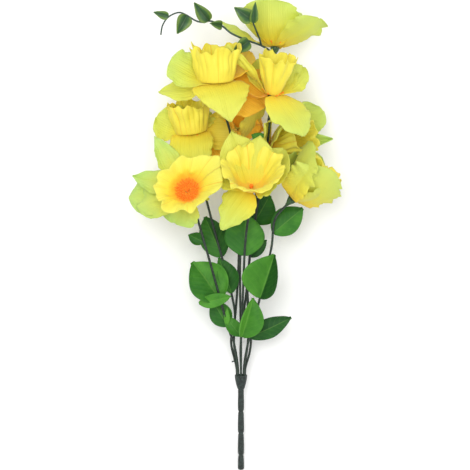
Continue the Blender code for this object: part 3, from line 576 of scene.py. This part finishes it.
def addPetal(cloth, place, petal, layer, seed):
    # One petal: a foot round the stem's bore, then rows that bend from the hub to the tip.
    floor = petalCut["floor"] + layer * petalCut["layer"]
    axis = Vector((0, 0, 1))
    tip = place.inverted() @ placed(petal["tip"]) * 1000
    outward = Vector((tip.x, tip.y, 0)).normalized()
    beside = axis.cross(outward)
    reach = tip.dot(outward) - petalCut["hub"]
    climb = tip.z - floor
    turn = math.radians(petal["bend"])
    start = math.atan2(climb, reach) - turn / 2
    length = math.hypot(reach, climb) * (turn / 2 / math.sin(turn / 2) if petal["bend"] else 1)
    own = {**petalCut, **petal}
    twist = math.radians(own["twist"])
    rows, columns = petalCut["rows"], petalCut["columns"]
    grid = []
    for radius in (petalCut["bore"], petalCut["hub"] * 0.65):
        ring = []
        for j in range(columns + 1):
            across = 2 * j / columns - 1
            spot = outward * radius + beside * across * radius * 0.8 + axis * floor
            ring.append((place @ (spot * 0.001), (0, across, petal["tint"]), (radius, 0, seed)))
        grid.append(ring)
    for i in range(rows + 1):
        share = i / rows
        out, rise = arcStep(length, start, turn, share)
        lift = start + turn * share
        normal = axis * math.cos(lift) - outward * math.sin(lift)
        along = outward * math.cos(lift) + axis * math.sin(lift)
        rolled = Matrix.Rotation(twist * smooth(0, 0.6, share), 3, along)
        side = rolled @ beside
        normal = rolled @ normal
        middle = outward * (petalCut["hub"] + out) + axis * (floor + rise)
        half = 0.5 * petal["width"] * petalOutline(min(share, 0.992), own["point"],
                                                   own["shoulder"], own["foot"])
        bend = math.radians(petal["cup"]) * (0.4 + 0.6 * math.sin(math.pi * min(share * 1.1, 1)))
        ring = []
        for j in range(columns + 1):
            across = 2 * j / columns - 1
            ragged = noise.noise(Vector((share * 7, (across > 0) * 5, seed)))
            ragged += 0.6 * noise.noise(Vector((share * 21, (across > 0) * 5, seed)))
            fray = 1 + own["fray"] * ragged * abs(across) ** 2
            angle = bend * across
            lateral = half * fray * (math.sin(angle) / bend if abs(bend) > 1e-3 else across)
            raised = half * ((1 - math.cos(angle)) / bend if abs(bend) > 1e-3 else 0)
            edge = abs(across) ** 3 * smooth(0.15, 0.6, share)
            phase = seed * 2.3 + (1.9 if across > 0 else 0)
            raised += own["ruffle"] * edge * math.sin(2 * math.pi * petalCut["waves"] * share + phase)
            raised += (own["crumple"] * smooth(0.05, 0.7, share)
                       * noise.noise(Vector((share * 1.7, across * 1.3, seed * 3.1))))
            wander = noise.noise(Vector((share * 1.5, across * 2, seed * 1.3)))
            vein = math.cos(math.pi * across * petalCut["veins"] + 2.2 * wander)
            raised += petalCut["veinDepth"] * vein * smooth(1.0, 0.6, share) * smooth(0, 0.2, share)
            raised -= petalCut["ribDepth"] * math.exp(-(across / 0.07) ** 2) * smooth(1.0, 0.7, share)
            spot = middle + side * lateral + normal * raised
            ring.append((place @ (spot * 0.001), (share, across, petal["tint"]),
                         (length * share, half * across, seed * 7)))
        grid.append(ring)
    addGrid(cloth, grid)


# Coronas. "lip" is how far the rim turns out, "turnUp" the share that lies flat as the foot, and
# "mouth" its width and height. "flare" and "dip" push one side of the rim out and down, by
# millimetres at an angle. "throat" is the share of airbrushed orange.

coronaCut = {"rows": 30, "flutes": 14, "perFlute": 8, "bore": 1.6, "foot": 4.5, "floor": 1.9,
             "pleat": 0.12, "frill": 1.1, "scallop": 0.02, "ragged": 0.03, "crumple": 3.5,
             "turnUp": 0.12, "lip": 0.22, "lean": 0, "throat": 0.2, "mouth": (1, 1),
             "flare": (0, 0), "dip": (0, 0), "thickness": 0.0004}


def coronaProfile(share, corona):
    # Radius and height along the corona, from the bore out over the foot and up to the rim.
    foot, turnUp, lip = corona["foot"], corona["turnUp"], corona["lip"]
    if share < turnUp:
        return corona["bore"] + (foot - corona["bore"]) * share / turnUp, 0.0
    up = (share - turnUp) / (1 - turnUp)
    radius = foot + (corona["rim"] - foot) * ((1 - lip) * up ** corona["belly"] + lip * up ** 4)
    return radius, corona["depth"] * (1 + lip * 0.6) * up - corona["depth"] * lip * 0.6 * up ** 4


def addCorona(cloth, place, corona, seed):
    corona = {**coronaCut, **corona}
    lean = Matrix.Rotation(math.radians(-corona["lean"]), 3, "X")
    flutes, rows = corona["flutes"], corona["rows"]
    columns = flutes * corona["perFlute"]
    rim, depth = corona["rim"], corona["depth"]
    wide, tall = corona["mouth"]
    flare, flareSpin = corona["flare"]
    dip, dipSpin = corona["dip"]
    grid = []
    for i in range(rows + 1):
        share = i / rows
        ring = []
        for j in range(columns):
            turn = 2 * math.pi * j / columns
            spin = math.degrees(turn) + 90
            wobble = noise.noise(Vector((math.cos(turn) * 1.5, math.sin(turn) * 1.5, seed)))
            lobe = abs(math.sin(flutes * turn / 2 + wobble * 1.2)) ** 0.7
            cut = share * (1 - corona["scallop"] * (1 - lobe) * share ** 6
                           + corona["ragged"] * share ** 8 * noise.noise(Vector((turn * 9, seed, 3))))
            radius, height = coronaProfile(cut, corona)
            opened = smooth(0.15, 0.6, share)
            radius *= 1 + corona["pleat"] * (lobe - 0.62) * opened * (1 - 0.85 * share ** 4)
            top = share ** 5
            frill = corona["frill"] * top
            sway = noise.noise(Vector((math.cos(turn) * 3, math.sin(turn) * 3, seed + 7)))
            radius += frill * (1.2 * math.sin(7 * turn + seed + wobble * 5) + 3 * wobble)
            height += frill * (4.0 * sway + 0.5 * math.cos(17 * turn + seed * 2 + wobble * 6))
            toward = max(math.cos(math.radians(spin - flareSpin)), 0) ** 1.5
            radius += flare * toward * share ** 3
            lower = max(math.cos(math.radians(spin - dipSpin)), 0) ** 1.5
            height -= dip * lower * share ** 2
            radius += corona["crumple"] * opened * noise.noise(
                Vector((math.cos(turn) * 2.2, math.sin(turn) * 2.2, share * 2.5 + seed * 4)))
            spot = lean @ Vector((radius * math.cos(turn) * (1 + (wide - 1) * opened),
                                  radius * math.sin(turn) * (1 + (tall - 1) * opened), height))
            spot.z += corona["floor"]
            ring.append((place @ (spot * 0.001), (share, lobe, corona["throat"]),
                         (share * depth * 1.3, turn * rim * 0.6, seed * 5)))
        grid.append(ring)
    addGrid(cloth, grid, wrap=True)


# Stamens, calyxes and stems. The fringe is a spiral of short filaments over the throat, which
# starts "fringeStart" out from the middle and reaches "fringeSpread" farther.

stamenSet = {"count": 7, "length": 8, "radius": 0.45, "middle": 1.7, "anther": 0.8, "lean": 0.16,
             "foot": 2.2, "ring": 0.9, "spray": 1, "fringe": 12, "fringeLength": 2.5,
             "fringeRadius": 0.4, "fringeStart": 2.0, "fringeSpread": 11.5, "fringeTurn": 2.39996}


def addStamens(cloth, place, corona):
    fringe = corona.get("fringe", stamenSet["fringe"])
    tall = stamenSet["length"] * corona.get("spray", stamenSet["spray"])
    slim, anther, fine = stamenSet["radius"], stamenSet["anther"], stamenSet["fringeRadius"]
    for i in range(stamenSet["count"]):
        turn = 2 * math.pi * i / (stamenSet["count"] - 1)
        lean = 0 if i == stamenSet["count"] - 1 else stamenSet["lean"]
        out = Vector((math.cos(turn), math.sin(turn), 0)) * (0 if lean == 0 else 1)
        low = out * stamenSet["ring"] + Vector((0, 0, stamenSet["foot"]))
        high = low + out * tall * lean + Vector((0, 0, tall))
        route = [place @ (low.lerp(high, step / 8) * 0.001) for step in range(9)]
        # The middle one is thick enough to hide the end of the stem.
        foot = stamenSet["middle"] if lean == 0 else slim
        radii = [foot] * 2 + [slim] * 3 + [anther * swell for swell in (0.8, 1, 0.9, 0.4)]
        addTube(cloth, route, [radius * 0.001 for radius in radii], 8)
    for i in range(fringe):
        turn = i * stamenSet["fringeTurn"]
        share = (i + 0.5) / fringe
        out = Vector((math.cos(turn), math.sin(turn), 0))
        reach = stamenSet["fringeStart"] + stamenSet["fringeSpread"] * share ** 0.55
        low = out * reach * 0.6 + Vector((0, 0, stamenSet["foot"]))
        high = out * reach + Vector((0, 0, stamenSet["foot"] + stamenSet["fringeLength"]))
        route = [place @ (low.lerp(high, step / 5) * 0.001) for step in range(6)]
        radii = (fine, fine, fine, fine * 1.3, fine * 1.9, fine)
        addTube(cloth, route, [radius * 0.001 for radius in radii], 6)


calyxCut = {"teeth": 10, "radius": 4.6, "reach": 1.1, "length": 8.5, "neck": 1.35, "perTooth": 6}


def addCalyx(cloth, place):
    # Each profile point is a height, as a share of the length, and a share of the way from the neck
    # to the full radius. Past 1 it runs out along the teeth.
    columns = calyxCut["teeth"] * calyxCut["perTooth"]
    profile = [(-1.0, 0.0), (-0.97, 0.10), (-0.75, 0.22), (-0.45, 0.62), (-0.18, 0.92), (-0.03, 1.0)]
    spread = calyxCut["radius"] - calyxCut["neck"]
    grid = []
    for height, share in profile + [(-0.01, 2.0), (0.0, 1.9), (0.0, 0.9), (0.0, 0.0)]:
        ring = []
        for j in range(columns):
            turn = 2 * math.pi * j / columns
            tooth = 0.5 + 0.5 * math.cos(calyxCut["teeth"] * turn)
            groove = 1 - 0.05 * (1 - tooth) * min(share, 1)
            radius = (calyxCut["neck"] + spread * min(share, 1)) * groove
            if share > 1:
                radius += calyxCut["reach"] * tooth ** 1.5 * (share - 1)
            spot = Vector((radius * math.cos(turn), radius * math.sin(turn),
                           height * calyxCut["length"]))
            ring.append((place @ (spot * 0.001), (0, 0, 0), (0, 0, 0)))
        grid.append(ring)
    addGrid(cloth, grid, wrap=True)


def handleDirection():
    tilt = math.radians(bunch["handleTilt"])
    return Vector((0, math.cos(tilt), math.sin(tilt)))


def socketOffset(head, radius):
    if head["socket"] is None:
        return Vector()
    angle = math.radians(head["socket"])
    side = Vector((1, 0, 0))
    up = side.cross(handleDirection())
    return radius * (math.cos(angle) * side + math.sin(angle) * up)


def stemRoute(head):
    # The line of a stem in millimetres, from inside the collar to a quarter of the peg, which the
    # corona hides.
    direction = handleDirection()
    top = Vector(bunch["collarTop"])
    inner = top + socketOffset(head, bunch["socketRadius"])
    bundle = top + direction * bunch["bundleLength"] + socketOffset(head, bunch["bundleRadius"])
    base = Vector(head["base"])
    facing = Vector(head["facing"]).normalized()
    passed = [Vector(point) for point in head["through"]]
    curve = smoothRoute([inner + direction * 2, bundle, *passed, base - facing * bunch["straightEnd"]],
                        direction, facing, 9)
    return [inner - direction, *curve, base - facing, base + facing * bunch["pegLength"] * 0.25]


def pointAtLevel(route, level):
    # Where a route passes a level along Y, and its direction there.
    for a, b in zip(route, route[1:]):
        if a.y <= level <= b.y:
            return a.lerp(b, (level - a.y) / (b.y - a.y)), (b - a).normalized()
    return route[-1], (route[-1] - route[-2]).normalized()


stubCut = {"direction": (-1.0, -0.25, 0), "reaches": (0.6, 1.6, 3.2), "radii": (0.9, 0.6, 0.8)}


def addStub(cloth, route, level):
    # The cut end of a runner from the mould.
    point = pointAtLevel(route, level)[0]
    steps = [point + Vector(stubCut["direction"]) * reach for reach in stubCut["reaches"]]
    addTube(cloth, [placed(step) for step in steps], [radius * 0.001 for radius in stubCut["radii"]], 8)


for number, head in enumerate(heads, 1):
    facing = (lying @ Vector(head["facing"])).normalized()
    base = nodeEnd(f"calyx_{number}", facing)
    place = headMatrix(base, facing)
    petals = newCloth()
    for i, petal in enumerate(head["petals"]):
        addPetal(petals, place, petal, petal.get("layer", i % 2), number + i * 0.37)
    makePiece(f"petalRing{number}", petals, finishes["petal"],
              [f"petals_{number}"], petalCut["thickness"])
    corona = newCloth()
    addCorona(corona, place, head["corona"], number * 1.7)
    makePiece(f"coronaTrumpet{number}", corona, finishes["corona"],
              [f"corona_{number}"], coronaCut["thickness"])
    stamens = newCloth()
    addStamens(stamens, place, head["corona"])
    makePiece(f"stamenSpray{number}", stamens, finishes["stamen"],
              [f"stamens_{number}"])
    calyx = newCloth()
    addCalyx(calyx, place)
    makePiece(f"calyxCup{number}", calyx, finishes["calyx"], [f"calyx_{number}"])
    stem = newCloth()
    route = [placed(point) for point in stemRoute(head)]
    radii = [0.001 * bunch["stemRadius"] * (1 + 0.06 * noise.noise(Vector((i * 0.9, number, 0))))
             for i in range(len(route))]
    addTube(stem, route, radii, 12)
    if "stub" in head:
        addStub(stem, stemRoute(head), head["stub"])
    makePiece(f"stemRod{number}", stem, finishes["stem"], [f"stem_{number}"])
    print(f"head {number} made")


# Handle: one moulding, in four segments that swell between narrow grooves, and a collar that fuses
# the stems.
handleCut = {"radius": 2.75, "swell": 0.4, "groove": 0.5, "spacing": 22.5, "firstGroove": 15.5,
             "grooveWidth": 0.045, "collar": 5.9, "lobes": 8, "lobeDepth": 0.14, "sides": 48,
             "step": 0.75, "roundEnd": 2.2, "endHeights": (0.0, 0.25, 0.8, 1.5), "flareLength": 6}


def makeHandle():
    direction = handleDirection()
    top = bunch["handleLength"] + bunch["collarLength"]
    side = Vector((1, 0, 0))
    up = side.cross(direction)
    tip = Vector(bunch["collarTop"]) - direction * top
    cloth = newCloth()
    grid = []
    heights = list(handleCut["endHeights"])
    while heights[-1] < top - handleCut["step"]:
        heights.append(heights[-1] + handleCut["step"])
    heights.append(top)
    for height in heights:
        # Phases 0 and 1 are grooves, and each segment is thickest a little past its first half.
        phase = ((height - handleCut["firstGroove"]) / handleCut["spacing"]) % 1
        nearest = min(phase, 1 - phase) / handleCut["grooveWidth"]
        radius = (handleCut["radius"] + handleCut["swell"] * math.sin(math.pi * phase ** 0.6)
                  - handleCut["groove"] * math.exp(-nearest ** 2))
        if height < handleCut["roundEnd"]:
            radius *= math.sqrt(1 - (1 - height / handleCut["roundEnd"]) ** 2 * 0.99)
        flare = smooth(bunch["handleLength"] - handleCut["flareLength"], top, height)
        radius += (handleCut["collar"] - handleCut["radius"]) * flare
        ring = []
        for j in range(handleCut["sides"]):
            turn = 2 * math.pi * j / handleCut["sides"]
            lobe = abs(math.cos(handleCut["lobes"] * turn / 2))
            wide = radius * (1 - handleCut["lobeDepth"] * (1 - lobe) * smooth(0.1, 1, flare))
            spot = tip + direction * height + (side * math.cos(turn) + up * math.sin(turn)) * wide
            ring.append((placed(spot), (0, 0, 0), (0, 0, 0)))
        grid.append(ring)
    first = len(cloth["points"])
    addGrid(cloth, grid, wrap=True)
    last = len(cloth["points"])
    cloth["faces"].append(tuple(reversed(range(first, first + handleCut["sides"]))))
    cloth["faces"].append(tuple(range(last - handleCut["sides"], last)))
    makePiece("handleMoulding", cloth, finishes["handle"], ["handle"])


makeHandle()
print("handle made")


# Leaves: the stem, the level where each sits, the side of the stem that it springs from, heading,
# face, length, width, bend along its length, and for its left and right half the angle, the extra
# roll and the tone, from 0 dark to 1 light. The tone is partly each leaf's own green and partly
# painted light and shade, lighter or darker by how that half faces the light.
leaves = [
    (4, 14, 1, (0.50, 0.85, 0.30), (0.1, -0.3, 1.0), 34, 34, 20, (10, 20, 0.1), (12, 40, 0.3)),
    (5, 3, -1, (0.77, 0.64, -0.05), (-0.2, -0.2, 1.0), 39, 30, 20, (-8, 0, 0.35), (-20, -20, 0.5)),
    (6, -20, -1, (0.03, 0.99, 0.05), (0.0, -0.2, 1.0), 42, 42, 20, (-10, 0, 0.4), (-12, -20, 0.55)),
    (7, -6, -1, (-0.85, 0.40, -0.20), (0.0, 0.2, 1.0), 18, 14, 20, (-15, 60, 0.2), (-15, 20, 0.25)),
    (8, -20, -1, (-0.38, 0.92, -0.05), (0.1, -0.2, 1.0), 44, 30, 20, (-5, 20, 0.45), (-15, 0, 0.2)),
    (7, -64, -1, (-0.58, 0.80, 0.04), (0.3, 0.1, 1.0), 48, 46, 30, (14, 10, 0.45), (10, 50, 0.6)),
    (8, -56, 1, (-0.34, 0.93, 0.06), (0.2, -0.2, 1.0), 38, 27, 20, (25, 60, 0.45), (20, 20, 0.25)),
    (5, -61, 1, (0.30, 0.92, 0.25), (0.1, -0.3, 1.0), 48, 54, 20, (8, 10, 0.6), (72, 10, 0.1)),
    (6, -100, 1, (0.26, 0.93, 0.30), (0.2, -0.3, 1.0), 43, 36, 25, (40, 60, 0.8), (20, 20, 0.55)),
    (5, -101, -1, (0.90, 0.42, 0.00), (0.0, -0.2, 1.0), 47, 21, 25, (-10, 0, 0.0), (-14, 0, 0.15)),
    (7, -90, -1, (-0.50, 0.85, 0.05), (0.1, -0.1, 1.0), 30, 24, 20, (-20, 0, 0.3), (-10, 60, 0.5)),
    (3, -20, -1, (0.70, 0.70, -0.10), (0.1, -0.1, 1.0), 24, 14, 20, (-15, 0, 0.1), (-15, 0, 0.1)),
    (3, 92, -1, (-0.80, 0.45, -0.10), (0.0, -0.1, 1.0), 18, 13, 5, (-5, 0, 0.6), (-5, 0, 0.6)),
]
# Folded-over parts of leaves: the leaf, the offset of its foot from the leaf's, heading, face,
# length, width and tone. The tone is partly the leaf's own green and partly painted light and shade,
# as for the leaves.
folds = [
    (6, (-21, -3, 7), (0.97, 0.22, 0.0), (0.0, -0.3, 1.0), 33, 15, 0.65),
    (9, (-1, 1, 1), (-0.62, 0.78, 0.10), (0.2, -0.1, 1.0), 25, 15, 0.5),
    (11, (-1, 0, 4), (0.03, 0.99, 0.10), (0.1, -0.1, 1.0), 18, 6, 0.8),
]
leafCut = {"rows": 24, "columns": 20, "thickness": 0.0004, "wave": 1.0, "waves": 1.6, "crumple": 2.0,
           "gap": 2.0, "drawnLength": 40, "foldBend": 15, "foldLean": 10}


def leafOutline(share, heart):
    # Half width along a leaf, as a share of the widest: heart-shaped, or oval with a short point.
    if heart:
        return math.sin(math.pi * min(share, 0.985) ** 0.55) ** 0.8
    return math.sin(math.pi * min(share + 0.015, 0.985) ** 0.9) ** 0.72


def addLeaf(cloth, start, heading, face, length, width, bend, halves, seed, heart=False):
    heading = heading.normalized()
    normal = (face - heading * face.dot(heading)).normalized()
    side = heading.cross(normal)
    turn = math.radians(-bend)
    rows, columns = leafCut["rows"], leafCut["columns"]
    scale = length / leafCut["drawnLength"]
    profiles = []
    for lean, roll, tone in halves:
        # Distance out and up of each step from the midrib to the edge, for a half width of 1.
        spots = [(0.0, 0.0)]
        for step in range(1, columns // 2 + 1):
            reach = (step - 0.5) / (columns // 2)
            angle = math.radians(lean + roll * smooth(0.35, 1, reach))
            out, up = spots[-1]
            spots.append((out + math.cos(angle) * 2 / columns, up + math.sin(angle) * 2 / columns))
        profiles.append((spots, tone))
    grid = []
    for i in range(rows + 1):
        share = i / rows
        out, rise = arcStep(length, -turn / 2, turn, share)
        middle = start + heading * out + normal * rise
        half = max(0.5 * width * leafOutline(share, heart), 0.5)
        ring = []
        for j in range(columns + 1):
            across = 2 * j / columns - 1
            spots, tone = profiles[1 if across > 0 else 0]
            lateral, raised = spots[abs(j - columns // 2)]
            lateral = math.copysign(lateral, across) * half
            raised *= half
            raised += (leafCut["wave"] * scale * abs(across) ** 3
                       * math.sin(2 * math.pi * leafCut["waves"] * share + seed * 2
                                  + (1.7 if across > 0 else 0)))
            raised += (leafCut["crumple"] * scale * smooth(0, 0.4, share)
                       * noise.noise(Vector((share * 1.8, across * 1.2, seed * 2.7))))
            spot = middle + side * lateral + normal * raised
            ring.append((placed(spot), (share, across, tone), (length * share, half * across, seed * 9)))
        grid.append(ring)
    addGrid(cloth, grid)


for number, leaf in enumerate(leaves, 1):
    stem, level, side, heading, face, length, width, bend, *halves = leaf
    point, along = pointAtLevel(stemRoute(heads[stem - 1]), level)
    face = Vector(face)
    outward = (face - along * face.dot(along)).normalized()
    start = point + outward * leafCut["gap"] * side
    cloth = newCloth()
    addLeaf(cloth, start, Vector(heading), face, length, width, bend, halves, number)
    for owner, offset, toward, front, reach, spread, tone in folds:
        if owner == number:
            half = (leafCut["foldLean"], leafCut["foldLean"], tone)
            addLeaf(cloth, start + Vector(offset), Vector(toward), Vector(front), reach, spread,
                    leafCut["foldBend"], [half, half], number + 40)
    makePiece(f"leafBlade{number}", cloth, finishes["leaf"], [f"leaf_{number}"],
              leafCut["thickness"])
print("leaves made")


# Vine: its main twig, its side twig, the directions in which both start and end, how far below head
# 1 it is clipped, and each leaf's start, heading, face, length and width.
vine = {
    "main": [(34, 185, 70), (25, 190, 80), (13, 194, 87), (-4, 201, 90), (-14, 209, 88),
             (-25, 214, 85), (-34, 213, 83), (-41, 215, 82), (-49, 220, 81), (-57, 223, 79),
             (-67, 219, 77), (-73, 211, 75), (-75, 201, 73)],
    "side": [(25, 190, 80), (20, 204, 94), (16, 214, 101)],
    "leaves": [
        ((-67, 219, 77), (-0.95, 0.30, -0.1), (0.0, -0.2, 1.0), 16, 9),
        ((-49, 220, 81), (-0.45, -0.88, 0.1), (0.2, 0.0, 1.0), 21, 16),
        ((-27, 214, 85), (-0.60, 0.75, 0.2), (0.0, -0.3, 1.0), 24, 15),
        ((-14, 209, 88), (-0.70, 0.10, 0.7), (0.5, 0.0, 0.9), 17, 10),
        ((13, 194, 87), (-0.75, -0.55, 0.3), (0.2, -0.1, 1.0), 22, 15),
        ((16, 214, 101), (-0.80, 0.55, 0.2), (0.1, -0.2, 1.0), 22, 16),
        ((17, 211, 100), (0.10, 0.95, 0.4), (0.1, -0.3, 1.0), 22, 9)],
    "mainEnds": [(-0.4, 0.5, 0.8), (-0.1, -1, 0)], "sideEnds": [(-0.1, 1, 0.3), (-0.3, 1, 0.2)],
    "clipDepth": 11, "radius": 1.05, "tipRadius": 0.75, "leafBend": 20, "leafHalf": (18, 0, 0.5),
    "thickness": 0.0006,
}


def makeVine():
    twigs = newCloth()
    root = Vector(heads[0]["base"]) - Vector(heads[0]["facing"]).normalized() * vine["clipDepth"]
    main = smoothRoute([root] + [Vector(p) for p in vine["main"]],
                       *[Vector(end) for end in vine["mainEnds"]], 5)
    side = smoothRoute([Vector(p) for p in vine["side"]],
                       *[Vector(end) for end in vine["sideEnds"]], 5)
    for route in (main, side):
        radii = [0.001 * (vine["radius"] + (vine["tipRadius"] - vine["radius"]) * i / len(route))
                 for i in range(len(route))]
        addTube(twigs, [placed(p) for p in route], radii, 10)
    makePiece("vineTwigs", twigs, finishes["vineTwig"], ["vine_spray"])
    blades = newCloth()
    for number, (start, heading, face, length, width) in enumerate(vine["leaves"], 1):
        addLeaf(blades, Vector(start), Vector(heading), Vector(face), length, width,
                vine["leafBend"], [vine["leafHalf"]] * 2, number + 20, heart=True)
    makePiece("vineLeaves", blades, finishes["vineLeaf"], ["vine_spray"],
              vine["thickness"])


makeVine()
print("vine made")


# Camera, lights and floor, in metres. "frameWidth" is what the camera takes in at "middleHeight".
# Each softbox has its name, place, size and power.

studio = {
    "cameraHeight": 5.0, "middleHeight": 0.06, "frameWidth": 0.469, "cameraSide": 0.0005,
    "cameraForward": 0.0027, "floorColour": "#fbfbfa", "floorSize": 6.0, "skyColour": "#ffffff",
    "skyStrength": 0.85,
    "softboxes": [("keySoftbox", (-0.2, 0.3, 1.6), 0.9, 14.0),
                  ("fillSoftbox", (0.9, -0.2, 1.2), 1.6, 4.0)],
}


def makeStudio():
    scene = bpy.context.scene
    view = bpy.data.cameras.new("overheadCamera")
    view.sensor_width = 36.0
    distance = studio["cameraHeight"] - studio["middleHeight"]
    view.lens = view.sensor_width * distance / studio["frameWidth"]
    view.clip_end = 20.0
    camera = bpy.data.objects.new("overheadCamera", view)
    camera.location = (studio["cameraSide"], studio["cameraForward"], studio["cameraHeight"])
    scene.collection.objects.link(camera)
    scene.camera = camera
    scene.view_settings.view_transform = "Standard"
    sky = bpy.data.worlds.new("studioSky")
    sky.use_nodes = True
    glow = sky.node_tree.nodes["Background"]
    glow.inputs["Color"].default_value = linear(studio["skyColour"])
    glow.inputs["Strength"].default_value = studio["skyStrength"]
    scene.world = sky
    for name, place, size, power in studio["softboxes"]:
        lamp = bpy.data.lights.new(name, "AREA")
        lamp.size = size
        lamp.energy = power
        light = bpy.data.objects.new(name, lamp)
        light.location = place
        light.rotation_euler = Vector(place).to_track_quat("Z", "Y").to_euler()
        scene.collection.objects.link(light)
    bpy.ops.mesh.primitive_plane_add(size=studio["floorSize"])
    floor = bpy.context.object
    floor.name = "studioFloor"
    made, tree = startMaterial("mattPaperSweep")
    skin = addNode(tree, "ShaderNodeBsdfPrincipled",
                   {"Base Color": linear(studio["floorColour"]), "Roughness": 0.9})
    addNode(tree, "ShaderNodeOutputMaterial", links={0: skin.outputs[0]})
    floor.data.materials.append(made)


makeStudio()
print("studio made")
